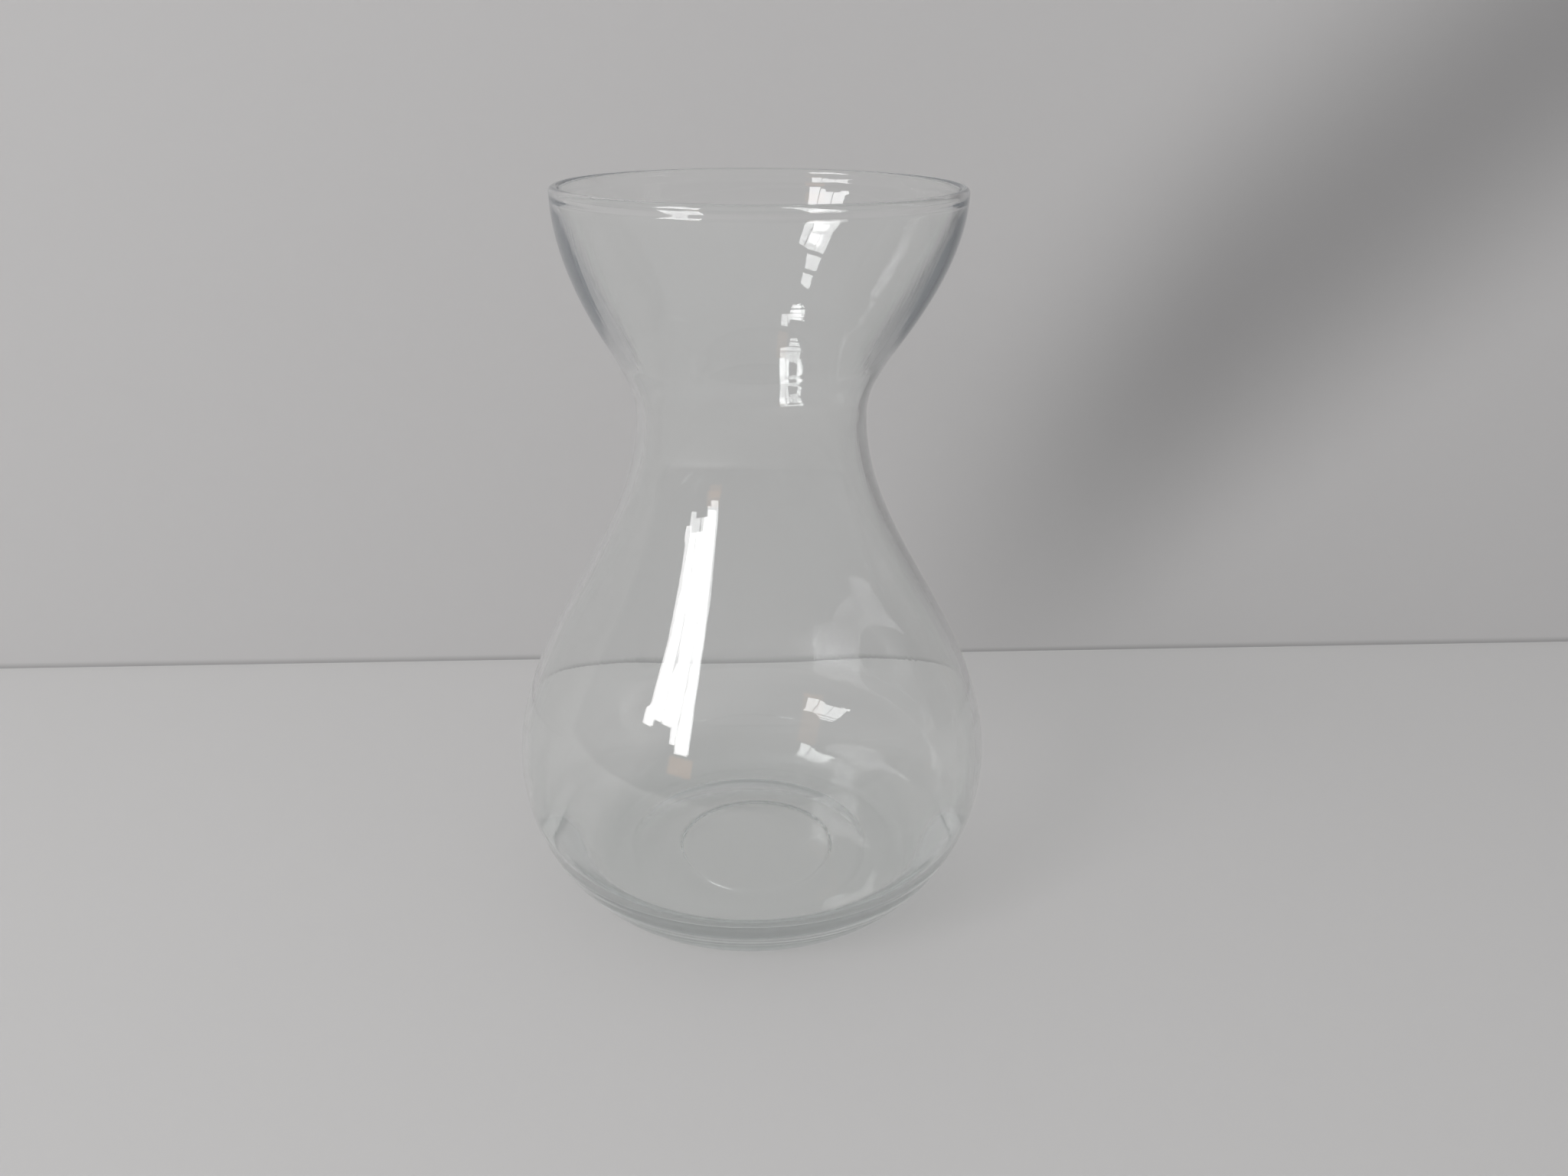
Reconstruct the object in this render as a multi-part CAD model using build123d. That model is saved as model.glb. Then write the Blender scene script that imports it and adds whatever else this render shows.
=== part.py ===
from build123d import *
import math
import os

# A hyacinth forcing vase: one body of clear glass, turned about Z.
# Millimetres. Z is up, and the origin is the middle of the foot, on the table.

# Heights above the table
vase_height = 150.0
seat_height = 118.2
throat_height = 106.0
belly_height = 30.0

# Outside radii
mouth_radius = 39.7
seat_radius = 27.6
throat_radius = 23.25
belly_radius = 50.9
heel_radius = 32.9

# Walls, measured level
rim_wall = 2.0
lip_wall = 1.6
seat_wall = 4.3
throat_wall = 1.9
belly_wall = 1.4

# How far down from the top the rim's bead thickens the inside of the wall
lip_drop = 3.0

# How far below the outside's turn at the seat the inside turns
inner_seat_drop = 1.0

# How far the inside of the throat runs straight, above the throat's height and below it
throat_land_above = 2.0
throat_land_below = 1.0

# The heavy bottom: how high its inside floor lies above the table, on the axis
floor_height = 5.0

# The underside: a flat standing ring, a push-up inside it, and a round mark in the middle of that
ring_inner_radius = 28.1
pushup_rise = 0.9
mark_radius = 17.7
mark_step = 0.4
mark_turn = 1.2
mark_rise = 0.3

# The slopes of the wall where the cup meets the neck, from upright, and under the rim's bead
cup_slope = 33.8
neck_slope = 28.5
inner_seat_slope = 16.0
lip_slope = 7.9

# How far each curve runs straight on before it bends, as shares of the stretch that it spans
cup_rim_share = 0.41
cup_seat_share = 0.236
bead_share = 0.35
inner_cup_lip_share = 0.442
inner_cup_seat_share = 0.128
neck_seat_share = 0.40
neck_throat_share = 0.43
neck_land_share = 0.12
inner_neck_seat_share = 0.459
body_throat_share = 0.353
body_land_share = 0.3314
inner_body_belly_share = 0.3648
body_belly_share = 0.367
heel_belly_share = 0.526
heel_foot_share = 0.382
floor_belly_share = 0.9
floor_axis_share = 0.77
underside_flat_share = 0.8
underside_turn_share = 0.15


def leaning(length, slope, sign=1):
    """A step of this length up a wall that leans outwards by slope, or down it."""
    angle = math.radians(slope)
    return (sign * length * math.sin(angle), sign * length * math.cos(angle))


def curve(start, out_of_start, end, into_end):
    """A smooth stretch of wall between two places, each a radius and a height."""
    near_start = (start[0] + out_of_start[0], start[1] + out_of_start[1])
    near_end = (end[0] + into_end[0], end[1] + into_end[1])
    return Bezier(start, near_start, near_end, end)


def outer_wall(rim_edge_height):
    """The outside, from the standing ring up to where the rim starts to round over."""
    foot = (heel_radius, 0)
    belly = (belly_radius, belly_height)
    throat = (throat_radius, throat_height)
    seat = (seat_radius, seat_height)
    mouth = (mouth_radius, rim_edge_height)
    body_span = throat_height - belly_height
    neck_span = seat_height - throat_height
    cup_span = rim_edge_height - seat_height
    heel_span = belly_radius - heel_radius
    return [
        curve(foot, (heel_span * heel_foot_share, 0), belly, (0, -belly_height * heel_belly_share)),
        curve(belly, (0, body_span * body_belly_share), throat, (0, -body_span * body_throat_share)),
        curve(
            throat,
            (0, neck_span * neck_throat_share),
            seat,
            leaning(neck_span * neck_seat_share, neck_slope, -1),
        ),
        curve(
            seat,
            leaning(cup_span * cup_seat_share, cup_slope),
            mouth,
            (0, -cup_span * cup_rim_share),
        ),
    ]


def rim(rim_edge_height):
    """The fire-polished rim: half a round over the whole thickness of the wall."""
    outside = (mouth_radius, rim_edge_height)
    top = (mouth_radius - rim_wall / 2, vase_height)
    inside = (mouth_radius - rim_wall, rim_edge_height)
    return [ThreePointArc(outside, top, inside)]


def inner_wall(rim_edge_height):
    """The inside, from the rim down to the middle of the floor."""
    mouth = (mouth_radius - rim_wall, rim_edge_height)
    lip = (mouth_radius - lip_wall, vase_height - lip_drop)
    seat = (seat_radius - seat_wall, seat_height - inner_seat_drop)
    throat_top = (throat_radius - throat_wall, throat_height + throat_land_above)
    throat_bottom = (throat_radius - throat_wall, throat_height - throat_land_below)
    belly = (belly_radius - belly_wall, belly_height)
    floor = (0, floor_height)
    bead_span = mouth[1] - lip[1]
    cup_span = lip[1] - seat[1]
    neck_span = seat[1] - throat_top[1]
    body_span = throat_bottom[1] - belly_height
    floor_span = belly_height - floor_height
    return [
        curve(
            mouth,
            (0, -bead_span * bead_share),
            lip,
            leaning(bead_span * bead_share, lip_slope),
        ),
        curve(
            lip,
            leaning(cup_span * inner_cup_lip_share, lip_slope, -1),
            seat,
            leaning(cup_span * inner_cup_seat_share, inner_seat_slope),
        ),
        curve(
            seat,
            leaning(neck_span * inner_neck_seat_share, inner_seat_slope, -1),
            throat_top,
            (0, neck_span * neck_land_share),
        ),
        Line(throat_top, throat_bottom),
        curve(
            throat_bottom,
            (0, -body_span * body_land_share),
            belly,
            (0, body_span * inner_body_belly_share),
        ),
        curve(belly, (0, -floor_span * floor_belly_share), floor, (belly[0] * floor_axis_share, 0)),
    ]


def level_curve(start, end):
    """A shallow stretch of the underside, level at both ends."""
    span = end[0] - start[0]
    return curve(start, (span * underside_flat_share, 0), end, (-span * underside_turn_share, 0))


def underside():
    """The underside, from the axis out to the heel."""
    middle = (0, pushup_rise + mark_step + mark_rise)
    mark_high = (mark_radius - mark_turn, pushup_rise + mark_step)
    mark_low = (mark_radius, pushup_rise)
    ring_inner = (ring_inner_radius, 0)
    return [
        level_curve(middle, mark_high),
        level_curve(mark_high, mark_low),
        level_curve(mark_low, ring_inner),
        Line(ring_inner, (heel_radius, 0)),
    ]


def glass_vase():
    """The section of the glass on one side of the axis, turned once round."""
    rim_edge_height = vase_height - rim_wall / 2
    axis_bottom = (0, pushup_rise + mark_step + mark_rise)
    edges = underside() + outer_wall(rim_edge_height) + rim(rim_edge_height) + inner_wall(rim_edge_height)
    edges.append(Line((0, floor_height), axis_bottom))
    section = Plane.XZ * make_face(Curve() + edges)
    return revolve(section, Axis.Z)


os.makedirs("parts", exist_ok=True)
vase = glass_vase()
print("glass_vase volume, ml:", round(vase.volume / 1000, 1))
export_step(vase, "parts/glass_vase.step")
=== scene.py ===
import math

import bmesh
import bpy
from bpy.props import FloatProperty, FloatVectorProperty, IntProperty, PointerProperty
from bpy.types import Operator, Panel, PropertyGroup
from mathutils import Matrix, Vector


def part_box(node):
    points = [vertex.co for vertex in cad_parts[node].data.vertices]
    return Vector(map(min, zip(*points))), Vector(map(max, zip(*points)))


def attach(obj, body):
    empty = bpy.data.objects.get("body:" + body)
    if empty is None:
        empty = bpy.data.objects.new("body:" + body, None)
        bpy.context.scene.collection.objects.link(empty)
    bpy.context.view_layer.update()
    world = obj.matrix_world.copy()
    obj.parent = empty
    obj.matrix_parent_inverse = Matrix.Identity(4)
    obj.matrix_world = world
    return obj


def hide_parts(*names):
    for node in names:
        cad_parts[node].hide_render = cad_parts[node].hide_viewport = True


bl_info = {
    "name": "Hyacinth Forcing Vase",
    "version": (1, 0, 0),
    "blender": (4, 5, 0),
    "location": "View3D > Sidebar > Vase",
    "description": "A clear glass vase with a bulb cup, turned from its section, on a pale cloth",
    "category": "Add Mesh",
}

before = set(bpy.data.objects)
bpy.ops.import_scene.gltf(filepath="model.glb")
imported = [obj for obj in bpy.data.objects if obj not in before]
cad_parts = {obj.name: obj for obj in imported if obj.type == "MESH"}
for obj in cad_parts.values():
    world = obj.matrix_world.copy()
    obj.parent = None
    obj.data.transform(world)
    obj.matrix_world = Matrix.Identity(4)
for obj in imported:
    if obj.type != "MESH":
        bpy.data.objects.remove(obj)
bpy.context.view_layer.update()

BODY = "root"
NODE = "glass_vase"

# The frame's own height and largest radius, which the section's outline is drawn to
FRAME_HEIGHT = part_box(NODE)[1].z
FRAME_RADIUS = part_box(NODE)[1].x

# Points of the section that lie closer together than this are one point
MERGE = 1e-6

# Steps that each stretch of the section is divided into
MARK_STEPS = 12
MARK_TURN_STEPS = 6
PUSHUP_STEPS = 24
RING_STEPS = 2
HEEL_STEPS = 22
BODY_STEPS = 48
NECK_STEPS = 12
CUP_STEPS = 28
RIM_QUARTER_STEPS = 6
BEAD_STEPS = 8
INNER_NECK_STEPS = 10
LAND_STEPS = 2
FLOOR_STEPS = 44

# How long the handles of a quarter round are, as a share of its radius
QUARTER_ROUND = 4 / 3 * math.tan(math.pi / 8)

# Edges that turn less than this are shaded as smooth
SMOOTH_BELOW = math.radians(35)

# Light that has passed through fewer than one see-through surface is on its first way out
FIRST_PASS = 0.5

# The width of the sensor that the lens is given for, in millimetres
SENSOR_WIDTH = 36

# The colour of light that nothing is taken from
UNDIMMED = (1.0, 1.0, 1.0, 1.0)

# Corners that lie closer than this to a place are taken to be at it
NEAR = 1e-5

# The bright panes of the window, each a ring of corners: bearing and rise in degrees, seen from the vase
PANES = (
    ((-148.0, 14.0), (-141.0, 13.5), (-141.0, 38.7), (-146.0, 38.0)),
    (
        (-140.4, 15.5), (-137.5, 15.5), (-137.0, 19.0), (-131.6, 18.7), (-131.6, 39.1), (-136.5, 39.4),
        (-140.4, 38.8),
    ),
    (
        (-131.0, 18.7), (-127.0, 18.5), (-126.5, 16.5), (-121.5, 16.0), (-121.0, 19.0), (-123.0, 20.0),
        (-122.0, 38.7), (-131.0, 39.1),
    ),
    ((-136.3, 40.6), (-122.0, 39.9), (-121.5, 43.6), (-133.0, 44.8)),
    ((-132.8, 46.0), (-121.4, 44.8), (-121.0, 48.0), (-130.5, 48.5)),
)

# The warm wall under the window
WARM_WALL = ((-151.0, 7.0), (-139.0, 7.0), (-139.0, 12.5), (-151.0, 13.0))


class VaseSizes(PropertyGroup):
    """The section of the glass: radii, heights and walls."""

    height: FloatProperty(
        name="Height", description="From the table to the top of the rim",
        default=FRAME_HEIGHT, unit="LENGTH",
    )
    seat_height: FloatProperty(
        name="Seat height", description="Where the cup meets the neck, outside",
        default=0.1182, unit="LENGTH",
    )
    throat_height: FloatProperty(
        name="Throat height", description="The narrowest place of the neck",
        default=0.106, unit="LENGTH",
    )
    belly_height: FloatProperty(
        name="Belly height", description="The widest place of the body",
        default=0.030, unit="LENGTH",
    )
    mouth_radius: FloatProperty(
        name="Mouth radius", description="Outside of the rim",
        default=0.0397, unit="LENGTH",
    )
    seat_radius: FloatProperty(
        name="Seat radius", description="Outside, where the cup meets the neck",
        default=0.0276, unit="LENGTH",
    )
    throat_radius: FloatProperty(
        name="Throat radius", description="Outside of the throat",
        default=0.02325, unit="LENGTH",
    )
    belly_radius: FloatProperty(
        name="Belly radius", description="Outside of the body at its widest",
        default=FRAME_RADIUS, unit="LENGTH",
    )
    heel_radius: FloatProperty(
        name="Heel radius", description="Outer edge of the standing ring",
        default=0.0329, unit="LENGTH",
    )
    rim_wall: FloatProperty(
        name="Rim wall", description="Thickness of the glass at the rim",
        default=0.002, unit="LENGTH",
    )
    lip_wall: FloatProperty(
        name="Lip wall", description="Level thickness just under the bead of the rim",
        default=0.0016, unit="LENGTH",
    )
    lip_drop: FloatProperty(
        name="Lip drop", description="How far the bead of the rim reaches down inside",
        default=0.003, unit="LENGTH",
    )
    seat_wall: FloatProperty(
        name="Seat wall", description="Level thickness from the outside's turn at the seat to the inside's",
        default=0.0043, unit="LENGTH",
    )
    inner_seat_drop: FloatProperty(
        name="Inner seat drop", description="How far below the outside's turn at the seat the inside turns",
        default=0.001, unit="LENGTH",
    )
    throat_wall: FloatProperty(
        name="Throat wall", description="Level thickness at the throat",
        default=0.0019, unit="LENGTH",
    )
    belly_wall: FloatProperty(
        name="Belly wall", description="Level thickness at the widest place",
        default=0.0014, unit="LENGTH",
    )
    floor_height: FloatProperty(
        name="Floor height", description="The inside floor above the table, on the axis",
        default=0.005, unit="LENGTH",
    )
    ring_inner_radius: FloatProperty(
        name="Ring inner radius", description="Inner edge of the standing ring",
        default=0.0281, unit="LENGTH",
    )
    pushup_rise: FloatProperty(
        name="Push-up rise", description="The underside above the table, round the mark",
        default=0.0009, unit="LENGTH",
    )
    mark_radius: FloatProperty(
        name="Mark radius", description="The round mark in the middle of the underside",
        default=0.0177, unit="LENGTH",
    )
    mark_step: FloatProperty(
        name="Mark step", description="How far the mark is let into the underside",
        default=0.0004, unit="LENGTH",
    )
    mark_turn: FloatProperty(
        name="Mark turn", description="Width of the slope round the mark",
        default=0.0012, unit="LENGTH",
    )
    mark_rise: FloatProperty(
        name="Mark rise", description="How far the mark's middle rises above its edge",
        default=0.0003, unit="LENGTH",
    )
    land_above: FloatProperty(
        name="Land above", description="How far the throat's inside runs straight above its height",
        default=0.002, unit="LENGTH",
    )
    land_below: FloatProperty(
        name="Land below", description="How far the throat's inside runs straight below its height",
        default=0.001, unit="LENGTH",
    )
    cup_slope: FloatProperty(
        name="Cup slope", description="Lean of the outside just above the seat",
        default=math.radians(33.8), subtype="ANGLE",
    )
    neck_slope: FloatProperty(
        name="Neck slope", description="Lean of the outside just below the seat",
        default=math.radians(28.5), subtype="ANGLE",
    )
    lip_slope: FloatProperty(
        name="Lip slope", description="Lean of the inside just under the bead of the rim",
        default=math.radians(7.9), subtype="ANGLE",
    )
    inner_seat_slope: FloatProperty(
        name="Inner seat slope", description="Lean of the inside where the cup meets the neck",
        default=math.radians(16.0), subtype="ANGLE",
    )
    cup_rim_share: FloatProperty(
        name="Cup at the rim", description="How far the cup's outside runs straight at the rim",
        default=0.41, subtype="FACTOR",
    )
    cup_seat_share: FloatProperty(
        name="Cup at the seat", description="How far the cup's outside runs straight at the seat",
        default=0.236, subtype="FACTOR",
    )
    bead_share: FloatProperty(
        name="Bead", description="How far the bead of the rim runs straight at both its ends",
        default=0.35, subtype="FACTOR",
    )
    inner_cup_lip_share: FloatProperty(
        name="Inner cup at the lip", description="How far the cup's inside runs straight under the bead",
        default=0.442, subtype="FACTOR",
    )
    inner_cup_seat_share: FloatProperty(
        name="Inner cup at the seat", description="How far the cup's inside runs straight at the seat",
        default=0.128, subtype="FACTOR",
    )
    neck_seat_share: FloatProperty(
        name="Neck at the seat", description="How far the neck's outside runs straight at the seat",
        default=0.4, subtype="FACTOR",
    )
    neck_throat_share: FloatProperty(
        name="Neck at the throat", description="How far the neck's outside runs straight at the throat",
        default=0.43, subtype="FACTOR",
    )
    neck_land_share: FloatProperty(
        name="Neck at the land", description="How far the neck's inside runs on above the throat's land",
        default=0.2, subtype="FACTOR",
    )
    inner_neck_seat_share: FloatProperty(
        name="Inner neck at the seat", description="How far the neck's inside runs straight at the seat",
        default=0.459, subtype="FACTOR",
    )
    body_throat_share: FloatProperty(
        name="Body at the throat", description="How far the body's outside runs straight at the throat",
        default=0.353, subtype="FACTOR",
    )
    body_land_share: FloatProperty(
        name="Body at the land", description="How far the body's inside runs on below the throat's land",
        default=0.3314, subtype="FACTOR",
    )
    inner_body_belly_share: FloatProperty(
        name="Inner body at the belly", description="How far the body's inside runs straight at the belly",
        default=0.3648, subtype="FACTOR",
    )
    body_belly_share: FloatProperty(
        name="Body at the belly", description="How far the body's outside runs straight at the belly",
        default=0.367, subtype="FACTOR",
    )
    heel_belly_share: FloatProperty(
        name="Heel at the belly", description="How far the heel's outside runs straight at the belly",
        default=0.526, subtype="FACTOR",
    )
    heel_foot_share: FloatProperty(
        name="Heel at the foot", description="How far the heel's outside runs level at the foot",
        default=0.382, subtype="FACTOR",
    )
    floor_belly_share: FloatProperty(
        name="Floor at the belly", description="How far the inside runs straight below the belly",
        default=0.9, subtype="FACTOR",
    )
    floor_axis_share: FloatProperty(
        name="Floor at the axis", description="How far the inside floor runs level from the axis",
        default=0.77, subtype="FACTOR",
    )
    underside_flat_share: FloatProperty(
        name="Underside, flat", description="How far each stretch of the underside starts level",
        default=0.8, subtype="FACTOR",
    )
    underside_turn_share: FloatProperty(
        name="Underside, turn", description="How far each stretch of the underside ends level",
        default=0.15, subtype="FACTOR",
    )
    cup_lean: FloatProperty(
        name="Cup lean", description="How far the rim stands to one side of the foot",
        default=0.00167, unit="LENGTH",
    )
    ring_shift: FloatProperty(
        name="Ring shift", description="How far the standing ring's inner edge lies off the middle",
        default=0.001, unit="LENGTH",
    )
    mark_shift: FloatProperty(
        name="Mark shift", description="How far the mark lies off the middle",
        default=0.0008, unit="LENGTH",
    )
    mark_reach: FloatProperty(
        name="Mark reach", description="How far round the mark's edge the glass follows it",
        default=0.004, unit="LENGTH",
    )
    turns: IntProperty(
        name="Steps round", description="Faces round the vase",
        default=256, min=12,
    )


class GlassFinish(PropertyGroup):
    """The clear glass: how it bends, tints and ripples light, the painted shade on light caught inside it,
    and how worn its foot is.
    """

    surface: FloatVectorProperty(
        name="Surface", description="What the surface lets through",
        default=(0.985, 0.992, 0.988, 1.0), size=4, subtype="COLOR",
    )
    depth: FloatVectorProperty(
        name="Depth", description="What a deep layer of the glass lets through",
        default=(0.45, 0.72, 0.66, 1.0), size=4, subtype="COLOR",
    )
    density: FloatProperty(
        name="Density", description="Absorption over one metre",
        default=2.5,
    )
    ior: FloatProperty(
        name="IOR", description="Index of refraction",
        default=1.51,
    )
    shade_middle: FloatVectorProperty(
        name="Shade, middle", description="What a wall seen squarely lets through to the cloth",
        default=(0.99, 0.99, 0.99, 1.0), size=4, subtype="COLOR",
    )
    shade_edge: FloatVectorProperty(
        name="Shade, edge", description="What a wall seen edge-on lets through to the cloth",
        default=(0.75, 0.76, 0.755, 1.0), size=4, subtype="COLOR",
    )
    shade_slant: FloatProperty(
        name="Shade, slant", description="How early the shade of a wall goes over to that of its edge",
        default=0.2, subtype="FACTOR",
    )
    # Painted shade: these colours dim light caught inside the glass by height, to paint the dark band along
    # the foot and the dark bands at the cup's edges
    caught_foot_painted_shade: FloatVectorProperty(
        name="Caught, foot", description="What is left of light that is caught in the heavy bottom",
        default=(0.61, 0.63, 0.625, 1.0), size=4, subtype="COLOR",
    )
    caught_body_painted_shade: FloatVectorProperty(
        name="Caught, body", description="What is left of light that is caught in the body's wall",
        default=(1.0, 1.0, 1.0, 1.0), size=4, subtype="COLOR",
    )
    caught_cup_painted_shade: FloatVectorProperty(
        name="Caught, cup", description="What is left of light that is caught in the cup's wall",
        default=(0.38, 0.41, 0.44, 1.0), size=4, subtype="COLOR",
    )
    caught_after: FloatProperty(
        name="Caught after", description="Reflections inside the glass after which light counts as caught",
        default=2.5,
    )
    # Heights at which the painted shade of the foot, the body and the cup applies
    foot_top: FloatProperty(
        name="Foot's top", description="Up to this height light is dimmed as in the foot",
        default=0.005, unit="LENGTH",
    )
    body_low: FloatProperty(
        name="Body from", description="From this height on light is dimmed as in the body",
        default=0.05, unit="LENGTH",
    )
    body_high: FloatProperty(
        name="Body up to", description="Up to this height light is dimmed as in the body",
        default=0.106, unit="LENGTH",
    )
    cup_low: FloatProperty(
        name="Cup from", description="From this height on light is dimmed as in the cup",
        default=0.122, unit="LENGTH",
    )
    # Round the standing ring the painted shade is left off
    ring_middle: FloatProperty(
        name="Ring, middle", description="Radius round which the foot lets caught light go undimmed",
        default=0.0275, unit="LENGTH",
    )
    ring_clear: FloatProperty(
        name="Ring, clear", description="How far from there the light is still undimmed",
        default=0.003, unit="LENGTH",
    )
    ring_faded: FloatProperty(
        name="Ring, faded", description="How far from there the light is dimmed as in the rest of the foot",
        default=0.005, unit="LENGTH",
    )
    ripple: FloatProperty(
        name="Ripple", description="Height of the ripples that blowing leaves",
        default=0.000004, unit="LENGTH", precision=6,
    )
    ripple_width: FloatProperty(
        name="Ripple width", description="How far apart the ripples lie, round the vase",
        default=0.0013, unit="LENGTH",
    )
    ripple_length: FloatProperty(
        name="Ripple length", description="How long the ripples are, up the vase",
        default=0.012, unit="LENGTH",
    )
    ripple_detail: FloatProperty(
        name="Ripple detail", description="How many finer sizes the ripples have in them",
        default=1.0,
    )
    foot_wear: FloatProperty(
        name="Foot wear", description="Roughness of the underside, where standing has worn it",
        default=0.2, subtype="FACTOR",
    )
    wear_low: FloatProperty(
        name="Wear, low", description="Up to this height the underside is fully worn",
        default=0.0015, unit="LENGTH",
    )
    wear_high: FloatProperty(
        name="Wear, high", description="From this height on the glass is polished",
        default=0.0045, unit="LENGTH",
    )
    swirl: FloatProperty(
        name="Swirl", description="Height of the unevenness in the heavy bottom",
        default=0.00003, unit="LENGTH", precision=6,
    )
    swirl_top: FloatProperty(
        name="Swirl, top", description="From this height on the glass has ripples in place of the swirl",
        default=0.01, unit="LENGTH",
    )
    swirl_width: FloatProperty(
        name="Swirl width", description="How far apart the humps in the heavy bottom lie",
        default=0.007, unit="LENGTH",
    )
    swirl_detail: FloatProperty(
        name="Swirl detail", description="How many finer sizes the swirl has in it",
        default=2.0,
    )


class StageLook(PropertyGroup):
    """The pale cloth, the window light and the camera."""

    cloth: FloatVectorProperty(
        name="Cloth", description="Colour of the floor",
        default=(0.6, 0.595, 0.59, 1.0), size=4, subtype="COLOR",
    )
    cloth_roughness: FloatProperty(
        name="Cloth roughness", description="How matt the cloth is",
        default=0.9, subtype="FACTOR",
    )
    cloth_sheen: FloatProperty(
        name="Cloth sheen", description="How much light the cloth's surface throws straight back",
        default=0.1, subtype="FACTOR",
    )
    floor_size: FloatProperty(
        name="Floor size", description="Length of each side of the floor",
        default=6.0, unit="LENGTH",
    )
    floor_drop: FloatProperty(
        name="Floor drop", description="Gap that keeps the floor from touching the foot",
        default=0.0001, unit="LENGTH", precision=5,
    )
    backdrop_size: FloatProperty(
        name="Backdrop size", description="Length of each side of the backdrop",
        default=1.6, unit="LENGTH",
    )
    ceiling: FloatVectorProperty(
        name="Ceiling", description="Soft light from straight above",
        default=(0.72, 0.72, 0.73, 1.0), size=4, subtype="COLOR",
    )
    walls: FloatVectorProperty(
        name="Walls", description="Soft light from the sides",
        default=(0.36, 0.355, 0.36, 1.0), size=4, subtype="COLOR",
    )
    crease_depth: FloatProperty(
        name="Crease depth", description="How far behind the vase's axis the backdrop rises",
        default=0.109, unit="LENGTH",
    )
    crease_turn: FloatProperty(
        name="Crease turn", description="How far the backdrop is turned from square to the vase",
        default=math.radians(1.7), subtype="ANGLE",
    )
    # Painted shade along the crease where the backdrop meets the floor
    crease_width: FloatProperty(
        name="Crease width", description="Height of the darker edge along the crease",
        default=0.0022, unit="LENGTH",
    )
    crease_shade: FloatProperty(
        name="Crease shade", description="How dark the edge along the crease is",
        default=0.5, subtype="FACTOR",
    )
    backdrop: FloatVectorProperty(
        name="Backdrop", description="Colour of the backdrop",
        default=(0.53, 0.525, 0.524, 1.0), size=4, subtype="COLOR",
    )
    # Painted shade: the backdrop is flat, and these paint the shadow of a soft fold across it
    fold_painted_shade_colour: FloatVectorProperty(
        name="Fold colour", description="Colour of the backdrop in its folds",
        default=(0.2, 0.198, 0.2, 1.0), size=4, subtype="COLOR",
    )
    fold_lean: FloatProperty(
        name="Fold lean", description="Lean of the soft fold from level",
        default=math.radians(42), subtype="ANGLE",
    )
    fold_place: FloatProperty(
        name="Fold place", description="How far the fold passes from the middle of the crease",
        default=-0.013, unit="LENGTH",
    )
    fold_width: FloatProperty(
        name="Fold width", description="From the middle of the fold to its edge",
        default=0.07, unit="LENGTH",
    )
    fold_start: FloatProperty(
        name="Fold start", description="How far to the side the fold starts",
        default=0.03, unit="LENGTH",
    )
    fold_full: FloatProperty(
        name="Fold full", description="How far to the side the fold is at its darkest",
        default=0.14, unit="LENGTH",
    )
    fold_painted_shade_depth: FloatProperty(
        name="Fold depth", description="How dark the fold gets",
        default=0.62, subtype="FACTOR",
    )
    window_away: FloatProperty(
        name="Window away", description="Distance of the window from the vase",
        default=2.0, unit="LENGTH",
    )
    window_aim: FloatProperty(
        name="Window aim", description="Height that the window's angles are taken from",
        default=0.075, unit="LENGTH",
    )
    window_colour: FloatVectorProperty(
        name="Window colour", description="Colour of the light through the window",
        default=(1.0, 1.0, 1.0, 1.0), size=4, subtype="COLOR",
    )
    window_strength: FloatProperty(
        name="Window strength", description="Brightness of the window's panes",
        default=11.0,
    )
    warm_colour: FloatVectorProperty(
        name="Warm colour", description="Colour of the wall under the window",
        default=(1.0, 0.62, 0.4, 1.0), size=4, subtype="COLOR",
    )
    warm_strength: FloatProperty(
        name="Warm strength", description="Brightness of the wall under the window",
        default=1.4,
    )
    lens: FloatProperty(
        name="Lens", description="Focal length in millimetres on a 36 mm sensor",
        default=29.71,
    )
    camera_away: FloatProperty(
        name="Camera away", description="How far in front of the vase's axis the camera stands",
        default=0.2563, unit="LENGTH",
    )
    camera_height: FloatProperty(
        name="Camera height", description="How far above the table the camera stands",
        default=0.17166, unit="LENGTH",
    )
    camera_pitch: FloatProperty(
        name="Camera pitch", description="How far down the camera looks",
        default=0.387, subtype="ANGLE",
    )
    camera_yaw: FloatProperty(
        name="Camera yaw", description="How far to the right the camera looks",
        default=0.0265, subtype="ANGLE",
    )
    camera_roll: FloatProperty(
        name="Camera roll", description="How far the camera is tipped to one side",
        default=-0.0067, subtype="ANGLE",
    )
    camera_clip: FloatProperty(
        name="Camera clip", description="Nearest distance that the camera shows",
        default=0.01, unit="LENGTH",
    )


def leaning(length, slope, sign=1):
    """A step of this length up a wall that leans outwards by slope, or down it."""
    return Vector((sign * length * math.sin(slope), 0, sign * length * math.cos(slope)))


def level(length):
    """A step of this length outwards, or inwards where it is negative."""
    return Vector((length, 0, 0))


def upright(length):
    """A step of this length upwards, or downwards where it is negative."""
    return Vector((0, 0, length))


def place(radius, height):
    """A place of the section, which is drawn in the XZ plane."""
    return Vector((radius, 0, height))


def draw_stretch(section, start, out_of_start, end, into_end, steps):
    """One curved stretch of the section, divided into this many steps."""
    spline = section.splines.new("BEZIER")
    spline.bezier_points.add(1)
    spline.resolution_u = steps
    for point, co, handle in zip(spline.bezier_points, (start, end), (out_of_start, into_end)):
        point.handle_left_type = "FREE"
        point.handle_right_type = "FREE"
        point.co = co
        point.handle_left = co + handle
        point.handle_right = co + handle


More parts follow.
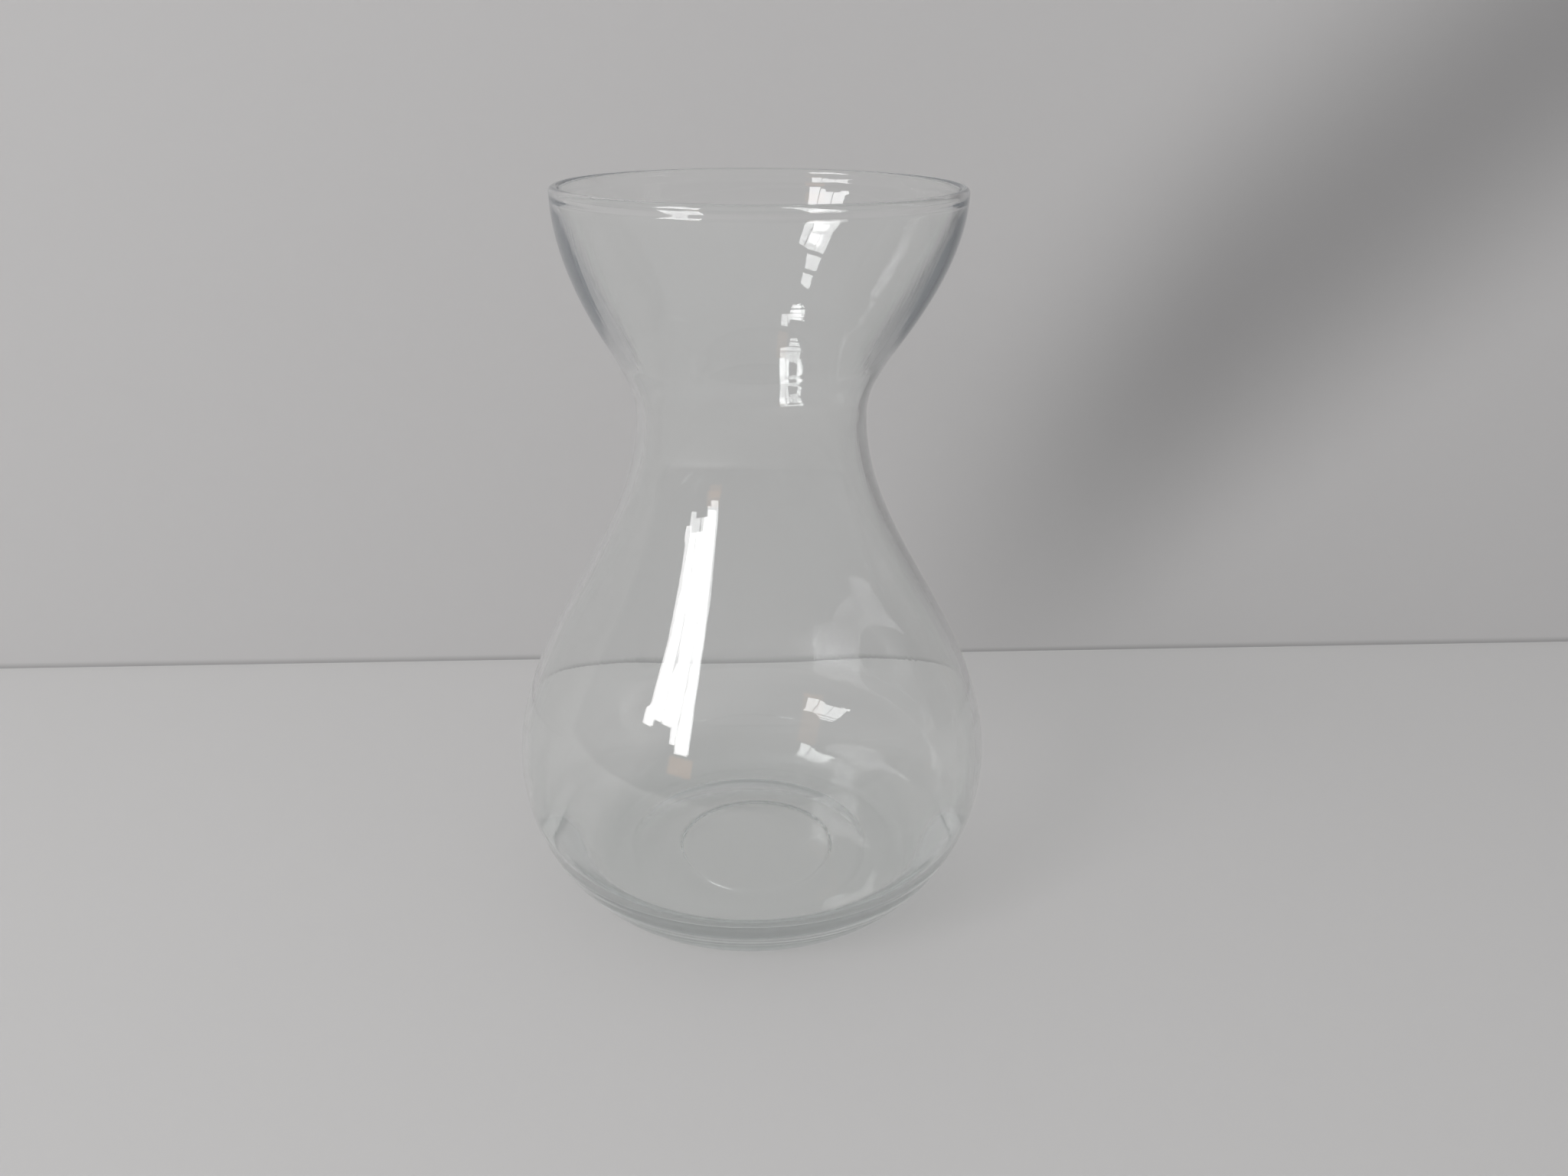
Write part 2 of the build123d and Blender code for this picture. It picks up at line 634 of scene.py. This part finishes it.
def draw_underside(section, s):
    """The underside, from the axis out to the standing ring."""
    middle = place(0, s.pushup_rise + s.mark_step + s.mark_rise)
    mark_high = place(s.mark_radius - s.mark_turn, s.pushup_rise + s.mark_step)
    mark_low = place(s.mark_radius, s.pushup_rise)
    ring_inner = place(s.ring_inner_radius, 0)
    heel = place(s.heel_radius, 0)
    stretches = (
        (middle, mark_high, MARK_STEPS),
        (mark_high, mark_low, MARK_TURN_STEPS),
        (mark_low, ring_inner, PUSHUP_STEPS),
    )
    for start, end, steps in stretches:
        span = end.x - start.x
        draw_stretch(
            section, start, level(s.underside_flat_share * span),
            end, level(-s.underside_turn_share * span), steps,
        )
    draw_stretch(section, ring_inner, Vector(), heel, Vector(), RING_STEPS)


def draw_outside(section, s, rim_edge):
    """The outside, from the standing ring up to where the rim rounds over."""
    heel = place(s.heel_radius, 0)
    belly = place(s.belly_radius, s.belly_height)
    throat = place(s.throat_radius, s.throat_height)
    seat = place(s.seat_radius, s.seat_height)
    mouth = place(s.mouth_radius, rim_edge)
    heel_span = belly.x - heel.x
    body_span = throat.z - belly.z
    neck_span = seat.z - throat.z
    cup_span = mouth.z - seat.z
    draw_stretch(
        section, heel, level(s.heel_foot_share * heel_span),
        belly, upright(-s.heel_belly_share * belly.z), HEEL_STEPS,
    )
    draw_stretch(
        section, belly, upright(s.body_belly_share * body_span),
        throat, upright(-s.body_throat_share * body_span), BODY_STEPS,
    )
    draw_stretch(
        section, throat, upright(s.neck_throat_share * neck_span),
        seat, leaning(s.neck_seat_share * neck_span, s.neck_slope, -1), NECK_STEPS,
    )
    draw_stretch(
        section, seat, leaning(s.cup_seat_share * cup_span, s.cup_slope),
        mouth, upright(-s.cup_rim_share * cup_span), CUP_STEPS,
    )


def draw_rim(section, s, rim_edge):
    """The fire-polished rim, two quarter rounds."""
    outside = place(s.mouth_radius, rim_edge)
    top = place(s.mouth_radius - s.rim_wall / 2, s.height)
    inside = place(s.mouth_radius - s.rim_wall, rim_edge)
    pull = (s.height - rim_edge) * QUARTER_ROUND
    draw_stretch(section, outside, upright(pull), top, level(pull), RIM_QUARTER_STEPS)
    draw_stretch(section, top, level(-pull), inside, upright(pull), RIM_QUARTER_STEPS)


def draw_inside(section, s, rim_edge):
    """The inside, from the rim down to the middle of the heavy bottom."""
    mouth = place(s.mouth_radius - s.rim_wall, rim_edge)
    lip = place(s.mouth_radius - s.lip_wall, s.height - s.lip_drop)
    seat = place(s.seat_radius - s.seat_wall, s.seat_height - s.inner_seat_drop)
    throat_top = place(s.throat_radius - s.throat_wall, s.throat_height + s.land_above)
    throat_bottom = place(s.throat_radius - s.throat_wall, s.throat_height - s.land_below)
    belly = place(s.belly_radius - s.belly_wall, s.belly_height)
    floor = place(0, s.floor_height)
    bead_span = mouth.z - lip.z
    cup_span = lip.z - seat.z
    neck_span = seat.z - throat_top.z
    body_span = throat_bottom.z - belly.z
    floor_span = belly.z - floor.z
    draw_stretch(
        section, mouth, upright(-s.bead_share * bead_span),
        lip, leaning(s.bead_share * bead_span, s.lip_slope), BEAD_STEPS,
    )
    draw_stretch(
        section, lip, leaning(s.inner_cup_lip_share * cup_span, s.lip_slope, -1),
        seat, leaning(s.inner_cup_seat_share * cup_span, s.inner_seat_slope), CUP_STEPS,
    )
    draw_stretch(
        section, seat, leaning(s.inner_neck_seat_share * neck_span, s.inner_seat_slope, -1),
        throat_top, upright(s.neck_land_share * neck_span), INNER_NECK_STEPS,
    )
    draw_stretch(section, throat_top, Vector(), throat_bottom, Vector(), LAND_STEPS)
    draw_stretch(
        section, throat_bottom, upright(-s.body_land_share * body_span),
        belly, upright(s.inner_body_belly_share * body_span), BODY_STEPS,
    )
    draw_stretch(
        section, belly, upright(-s.floor_belly_share * floor_span),
        floor, level(s.floor_axis_share * belly.x), FLOOR_STEPS,
    )


def drawn_section(s):
    """The closed section of the glass on one side of the axis, as a mesh of edges."""
    bpy.ops.object.select_all(action="DESELECT")
    bpy.ops.curve.primitive_bezier_curve_add(location=(0, 0, 0))
    piece = bpy.context.object
    section = piece.data
    section.splines.clear()
    rim_edge = s.height - s.rim_wall / 2
    draw_underside(section, s)
    draw_outside(section, s, rim_edge)
    draw_rim(section, s, rim_edge)
    draw_inside(section, s, rim_edge)
    bpy.ops.object.convert(target="MESH")
    return bpy.context.object


def select_round(piece, radius, low, high):
    """Select the corners that lie on this radius, between two heights."""
    bpy.ops.mesh.select_all(action="DESELECT")
    mesh = bmesh.from_edit_mesh(piece.data)
    for corner in mesh.verts:
        near = abs(math.hypot(corner.co.x, corner.co.y) - radius) < NEAR
        corner.select_set(near and low - NEAR < corner.co.z < high + NEAR)
    mesh.select_flush_mode()
    bmesh.update_edit_mesh(piece.data)


def push(step, reach):
    """Move what is selected by this step, and what lies near it less and less, up to the reach."""
    bpy.ops.transform.translate(
        value=step, use_proportional_edit=True, proportional_edit_falloff="SMOOTH", proportional_size=reach,
    )


def turned_body(s):
    """The section turned once round the axis, with its seam and both middles closed."""
    piece = drawn_section(s)
    bpy.ops.object.mode_set(mode="EDIT")
    bpy.ops.mesh.select_mode(type="VERT")
    bpy.ops.mesh.select_all(action="SELECT")
    bpy.ops.mesh.remove_doubles(threshold=MERGE)
    bpy.ops.mesh.spin(steps=s.turns, angle=math.tau, center=(0, 0, 0), axis=(0, 0, 1))
    bpy.ops.mesh.select_all(action="SELECT")
    bpy.ops.mesh.remove_doubles(threshold=MERGE)
    bpy.ops.mesh.normals_make_consistent(inside=False)
    select_round(piece, s.mouth_radius - s.rim_wall / 2, s.height, s.height)
    push((s.cup_lean, 0, 0), s.height - s.throat_height)
    select_round(piece, s.ring_inner_radius, 0, 0)
    push((-s.ring_shift, s.ring_shift, 0), s.heel_radius - s.ring_inner_radius)
    select_round(piece, s.mark_radius, s.pushup_rise, s.pushup_rise)
    push((s.mark_shift, 0, 0), s.mark_reach)
    bpy.ops.object.mode_set(mode="OBJECT")
    return piece


def math_node(tree, operation, first, second):
    """One step of arithmetic on two values, each a socket or a number."""
    node = tree.nodes.new("ShaderNodeMath")
    node.operation = operation
    for socket, value in zip(node.inputs, (first, second)):
        if isinstance(value, bpy.types.NodeSocket):
            tree.links.new(value, socket)
        else:
            socket.default_value = value
    return node.outputs["Value"]


def mixed_colour(tree, factor, first, second):
    """A blend of two colours, each a socket or a colour."""
    node = tree.nodes.new("ShaderNodeMix")
    node.data_type = "RGBA"
    tree.links.new(factor, node.inputs["Factor"])
    for socket, value in ((node.inputs["A"], first), (node.inputs["B"], second)):
        if isinstance(value, bpy.types.NodeSocket):
            tree.links.new(value, socket)
        else:
            socket.default_value = value
    return node.outputs["Result"]


def eased(tree, value, start, end, low, high):
    """A value that goes smoothly from low to high between start and end."""
    node = tree.nodes.new("ShaderNodeMapRange")
    node.interpolation_type = "SMOOTHSTEP"
    node.inputs["From Min"].default_value = start
    node.inputs["From Max"].default_value = end
    node.inputs["To Min"].default_value = low
    node.inputs["To Max"].default_value = high
    tree.links.new(value, node.inputs["Value"])
    return node.outputs["Result"]


def uneven(tree, where, detail, height, strength, normal=None):
    """A normal bent by noise of this height, as strongly as the socket says."""
    noise = tree.nodes.new("ShaderNodeTexNoise")
    noise.inputs["Scale"].default_value = 1.0
    noise.inputs["Detail"].default_value = detail
    tree.links.new(where, noise.inputs["Vector"])
    bump = tree.nodes.new("ShaderNodeBump")
    bump.inputs["Distance"].default_value = height
    tree.links.new(strength, bump.inputs["Strength"])
    tree.links.new(noise.outputs["Fac"], bump.inputs["Height"])
    if normal:
        tree.links.new(normal, bump.inputs["Normal"])
    return bump.outputs["Normal"]


def vector_node(tree, operation, first, second=None, scale=None):
    """One step of vector arithmetic."""
    node = tree.nodes.new("ShaderNodeVectorMath")
    node.operation = operation
    tree.links.new(first, node.inputs[0])
    if second:
        tree.links.new(second, node.inputs[1])
    if scale:
        node.inputs["Scale"].default_value = scale
    return node.outputs["Vector"]


def ripples(tree, g):
    """A normal bent by ripples up the walls and a swirl in the foot, then the radius and the height."""
    nodes = tree.nodes
    links = tree.links
    where = nodes.new("ShaderNodeTexCoord")
    parts = nodes.new("ShaderNodeSeparateXYZ")
    links.new(where.outputs["Object"], parts.inputs["Vector"])
    level_part = nodes.new("ShaderNodeCombineXYZ")
    links.new(parts.outputs["X"], level_part.inputs["X"])
    links.new(parts.outputs["Y"], level_part.inputs["Y"])
    outwards = vector_node(tree, "NORMALIZE", level_part.outputs["Vector"])
    around = vector_node(tree, "SCALE", outwards, scale=FRAME_RADIUS / g.ripple_width)
    upwards = nodes.new("ShaderNodeCombineXYZ")
    links.new(math_node(tree, "MULTIPLY", parts.outputs["Z"], 1 / g.ripple_length), upwards.inputs["Z"])
    on_wall = vector_node(tree, "ADD", around, upwards.outputs["Vector"])
    in_foot = vector_node(tree, "SCALE", level_part.outputs["Vector"], scale=1 / g.swirl_width)
    wall_share = eased(tree, parts.outputs["Z"], g.foot_top, g.swirl_top, 0.0, 1.0)
    foot_share = eased(tree, parts.outputs["Z"], g.foot_top, g.swirl_top, 1.0, 0.0)
    normal = uneven(tree, on_wall, g.ripple_detail, g.ripple, wall_share)
    normal = uneven(tree, in_foot, g.swirl_detail, g.swirl, foot_share, normal)
    away = nodes.new("ShaderNodeVectorMath")
    away.operation = "LENGTH"
    links.new(level_part.outputs["Vector"], away.inputs[0])
    return normal, away.outputs["Value"], parts.outputs["Z"]


def glass_material(g):
    """Clear glass that bends light and tints it with depth, with painted shade on the light it catches,
    worn under the foot.
    """
    material = bpy.data.materials.new("clear_glass")
    material.use_nodes = True
    tree = material.node_tree
    nodes = tree.nodes
    links = tree.links
    glass = nodes["Principled BSDF"]
    glass.inputs["Base Color"].default_value = g.surface
    glass.inputs["IOR"].default_value = g.ior
    glass.inputs["Transmission Weight"].default_value = 1.0
    normal, radius, height = ripples(tree, g)
    links.new(normal, glass.inputs["Normal"])
    links.new(eased(tree, height, g.wear_low, g.wear_high, g.foot_wear, 0.0), glass.inputs["Roughness"])
    route = nodes.new("ShaderNodeLightPath")
    onto_cloth = math_node(tree, "MAXIMUM", route.outputs["Is Shadow Ray"], route.outputs["Is Diffuse Ray"])
    caught = math_node(tree, "GREATER_THAN", route.outputs["Glossy Depth"], g.caught_after)
    first_way_out = math_node(tree, "LESS_THAN", route.outputs["Transparent Depth"], FIRST_PASS)
    straight_on = math_node(tree, "MAXIMUM", onto_cloth, caught)
    slant = nodes.new("ShaderNodeLayerWeight")
    slant.inputs["Blend"].default_value = g.shade_slant
    shade = mixed_colour(tree, slant.outputs["Facing"], g.shade_middle, g.shade_edge)
    # Painted shade on caught light: darker by height in the foot and the cup, none round the standing ring,
    # applied on the first way out
    into_body = eased(tree, height, g.foot_top, g.body_low, 0.0, 1.0)
    into_cup = eased(tree, height, g.body_high, g.cup_low, 0.0, 1.0)
    off_ring = math_node(tree, "ABSOLUTE", math_node(tree, "SUBTRACT", radius, g.ring_middle), 0.0)
    at_ring = eased(tree, off_ring, g.ring_clear, g.ring_faded, 1.0, 0.0)
    in_foot = mixed_colour(tree, at_ring, g.caught_foot_painted_shade, UNDIMMED)
    below = mixed_colour(tree, into_body, in_foot, g.caught_body_painted_shade)
    painted_caught_shade = mixed_colour(tree, into_cup, below, g.caught_cup_painted_shade)
    painted_caught_shade_once = mixed_colour(tree, first_way_out, UNDIMMED, painted_caught_shade)
    clear = nodes.new("ShaderNodeBsdfTransparent")
    links.new(mixed_colour(tree, caught, shade, painted_caught_shade_once), clear.inputs["Color"])
    mix = nodes.new("ShaderNodeMixShader")
    links.new(straight_on, mix.inputs["Fac"])
    links.new(glass.outputs["BSDF"], mix.inputs[1])
    links.new(clear.outputs["BSDF"], mix.inputs[2])
    links.new(mix.outputs["Shader"], nodes["Material Output"].inputs["Surface"])
    depth = nodes.new("ShaderNodeVolumeAbsorption")
    depth.inputs["Color"].default_value = g.depth
    depth.inputs["Density"].default_value = g.density
    links.new(depth.outputs["Volume"], nodes["Material Output"].inputs["Volume"])
    return material


class VASE_OT_turn_glass(Operator):
    """Turn the glass body from its section and give it its finish"""

    bl_idname = "vase.turn_glass"
    bl_label = "Turn the Glass"
    bl_options = {"REGISTER", "UNDO"}

    def execute(self, context):
        sizes = context.scene.vase_sizes
        piece = turned_body(sizes)
        piece.name = "vase_glass"
        bpy.ops.object.shade_smooth_by_angle(angle=SMOOTH_BELOW)
        piece.data.materials.clear()
        piece.data.materials.append(glass_material(context.scene.vase_glass))
        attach(piece, BODY)
        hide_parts(NODE)
        return {"FINISHED"}


def plain_material(name, colour, look):
    """Matt cloth of one colour."""
    material = bpy.data.materials.new(name)
    material.use_nodes = True
    cloth = material.node_tree.nodes["Principled BSDF"]
    cloth.inputs["Base Color"].default_value = colour
    cloth.inputs["Roughness"].default_value = look.cloth_roughness
    cloth.inputs["Specular IOR Level"].default_value = look.cloth_sheen
    return material


def backdrop_material(look):
    """The same cloth, flat, with the painted shade of a soft fold, painted shade along the crease, and
    nothing to be seen of it from behind.
    """
    material = plain_material("backdrop_cloth", look.cloth, look)
    tree = material.node_tree
    nodes = tree.nodes
    links = tree.links
    where = nodes.new("ShaderNodeTexCoord")
    parts = nodes.new("ShaderNodeSeparateXYZ")
    links.new(where.outputs["Object"], parts.inputs["Vector"])
    # Painted shade of a soft fold: a slanting band that comes in towards the side
    across = math_node(tree, "MULTIPLY", parts.outputs["X"], -math.sin(look.fold_lean))
    upwards = math_node(tree, "MULTIPLY", parts.outputs["Z"], math.cos(look.fold_lean))
    aside = math_node(tree, "ADD", across, upwards)
    off_fold = math_node(tree, "ABSOLUTE", math_node(tree, "SUBTRACT", aside, look.fold_place), 0.0)
    fold = eased(tree, off_fold, 0.0, look.fold_width, 1.0, 0.0)
    comes_in = eased(tree, parts.outputs["X"], look.fold_start, look.fold_full, 0.0, look.fold_painted_shade_depth)
    painted_fold_shade = math_node(tree, "MULTIPLY", fold, comes_in)
    # Painted shade along the crease
    crease = eased(tree, parts.outputs["Z"], 0.0, look.crease_width, look.crease_shade, 0.0)
    shade = math_node(tree, "MAXIMUM", painted_fold_shade, crease)
    cloth = nodes["Principled BSDF"]
    colour = mixed_colour(tree, shade, look.backdrop, look.fold_painted_shade_colour)
    links.new(colour, cloth.inputs["Base Color"])
    side = nodes.new("ShaderNodeNewGeometry")
    clear = nodes.new("ShaderNodeBsdfTransparent")
    mix = nodes.new("ShaderNodeMixShader")
    links.new(side.outputs["Backfacing"], mix.inputs["Fac"])
    links.new(cloth.outputs["BSDF"], mix.inputs[1])
    links.new(clear.outputs["BSDF"], mix.inputs[2])
    links.new(mix.outputs["Shader"], nodes["Material Output"].inputs["Surface"])
    return material


def lay_floor(look):
    """The cloth under the vase, and the cloth that rises behind it."""
    bpy.ops.object.select_all(action="DESELECT")
    bpy.ops.mesh.primitive_plane_add(size=look.floor_size, location=(0, 0, -look.floor_drop))
    floor = bpy.context.object
    floor.name = "floor"
    bpy.ops.object.transform_apply(location=True, rotation=True, scale=True)
    floor.data.materials.append(plain_material("floor_cloth", look.cloth, look))
    bpy.ops.object.select_all(action="DESELECT")
    bpy.ops.mesh.primitive_plane_add(
        size=look.backdrop_size, location=(0, look.crease_depth, look.backdrop_size / 2),
        rotation=(math.pi / 2, 0, look.crease_turn),
    )
    backdrop = bpy.context.object
    backdrop.name = "backdrop"
    bpy.ops.object.transform_apply(location=True, rotation=True, scale=True)
    backdrop.data.materials.append(backdrop_material(look))


def light_card(name, rings, colour, strength, look):
    """A card that shines on the vase and shows in the glass, but not to the camera."""
    corners = []
    faces = []
    for ring in rings:
        faces.append(list(range(len(corners), len(corners) + len(ring))))
        for bearing, rise in ring:
            turn = math.radians(bearing)
            tilt = math.radians(rise)
            sideways = math.cos(tilt)
            towards = Vector((math.sin(turn) * sideways, math.cos(turn) * sideways, math.sin(tilt)))
            corners.append(look.window_away * towards + upright(look.window_aim))
    mesh = bpy.data.meshes.new(name)
    mesh.from_pydata(corners, [], faces)
    card = bpy.data.objects.new(name, mesh)
    bpy.context.collection.objects.link(card)
    material = bpy.data.materials.new(name)
    material.use_nodes = True
    nodes = material.node_tree.nodes
    nodes.remove(nodes["Principled BSDF"])
    shine = nodes.new("ShaderNodeEmission")
    shine.inputs["Color"].default_value = colour
    shine.inputs["Strength"].default_value = strength
    material.node_tree.links.new(shine.outputs["Emission"], nodes["Material Output"].inputs["Surface"])
    mesh.materials.append(material)
    card.visible_camera = False


def light_room(look):
    """Soft light from all round, with the window's panes and the warm wall to one side."""
    world = bpy.data.worlds.new("room")
    bpy.context.scene.world = world
    world.use_nodes = True
    nodes = world.node_tree.nodes
    links = world.node_tree.links
    direction = nodes.new("ShaderNodeTexCoord")
    parts = nodes.new("ShaderNodeSeparateXYZ")
    links.new(direction.outputs["Generated"], parts.inputs["Vector"])
    colour = mixed_colour(world.node_tree, parts.outputs["Z"], look.walls, look.ceiling)
    links.new(colour, nodes["Background"].inputs["Color"])
    light_card("window_panes", PANES, look.window_colour, look.window_strength, look)
    light_card("warm_wall", (WARM_WALL,), look.warm_colour, look.warm_strength, look)


def set_camera(look):
    """The camera in front of the vase, looking down at it."""
    aside = Matrix.Rotation(-look.camera_yaw, 4, "Z")
    down = Matrix.Rotation(math.pi / 2 - look.camera_pitch, 4, "X")
    over = Matrix.Rotation(-look.camera_roll, 4, "Z")
    turn = aside @ down @ over
    bpy.ops.object.camera_add(
        location=(0, -look.camera_away, look.camera_height), rotation=turn.to_euler(),
    )
    camera = bpy.context.object
    camera.name = "camera"
    camera.data.lens = look.lens
    camera.data.sensor_width = SENSOR_WIDTH
    camera.data.clip_start = look.camera_clip
    bpy.context.scene.camera = camera


class VASE_OT_set_stage(Operator):
    """Lay the pale cloth, light it softly and place the camera"""

    bl_idname = "vase.set_stage"
    bl_label = "Set the Stage"
    bl_options = {"REGISTER", "UNDO"}

    def execute(self, context):
        look = context.scene.vase_stage
        lay_floor(look)
        light_room(look)
        set_camera(look)
        context.scene.view_settings.view_transform = "Standard"
        return {"FINISHED"}


class VASE_PT_sidebar(Panel):
    """The vase's sizes and finishes"""

    bl_idname = "VASE_PT_sidebar"
    bl_label = "Hyacinth Vase"
    bl_space_type = "VIEW_3D"
    bl_region_type = "UI"
    bl_category = "Vase"

    def draw(self, context):
        """List every size, every finish and both operators."""
        scene = context.scene
        for group in (scene.vase_sizes, scene.vase_glass, scene.vase_stage):
            for name in group.__annotations__:
                self.layout.prop(group, name)
        self.layout.operator(VASE_OT_turn_glass.bl_idname)
        self.layout.operator(VASE_OT_set_stage.bl_idname)


CLASSES = (VaseSizes, GlassFinish, StageLook, VASE_OT_turn_glass, VASE_OT_set_stage, VASE_PT_sidebar)


def register():
    """Make the sizes, finishes, operators and panel known."""
    for cls in CLASSES:
        bpy.utils.register_class(cls)
    bpy.types.Scene.vase_sizes = PointerProperty(type=VaseSizes)
    bpy.types.Scene.vase_glass = PointerProperty(type=GlassFinish)
    bpy.types.Scene.vase_stage = PointerProperty(type=StageLook)


def unregister():
    """Take them away again."""
    del bpy.types.Scene.vase_stage
    del bpy.types.Scene.vase_glass
    del bpy.types.Scene.vase_sizes
    for cls in reversed(CLASSES):
        bpy.utils.unregister_class(cls)


def main():
    """Build the vase and its stage."""
    register()
    bpy.ops.vase.turn_glass()
    bpy.ops.vase.set_stage()


if __name__ == "__main__":
    main()
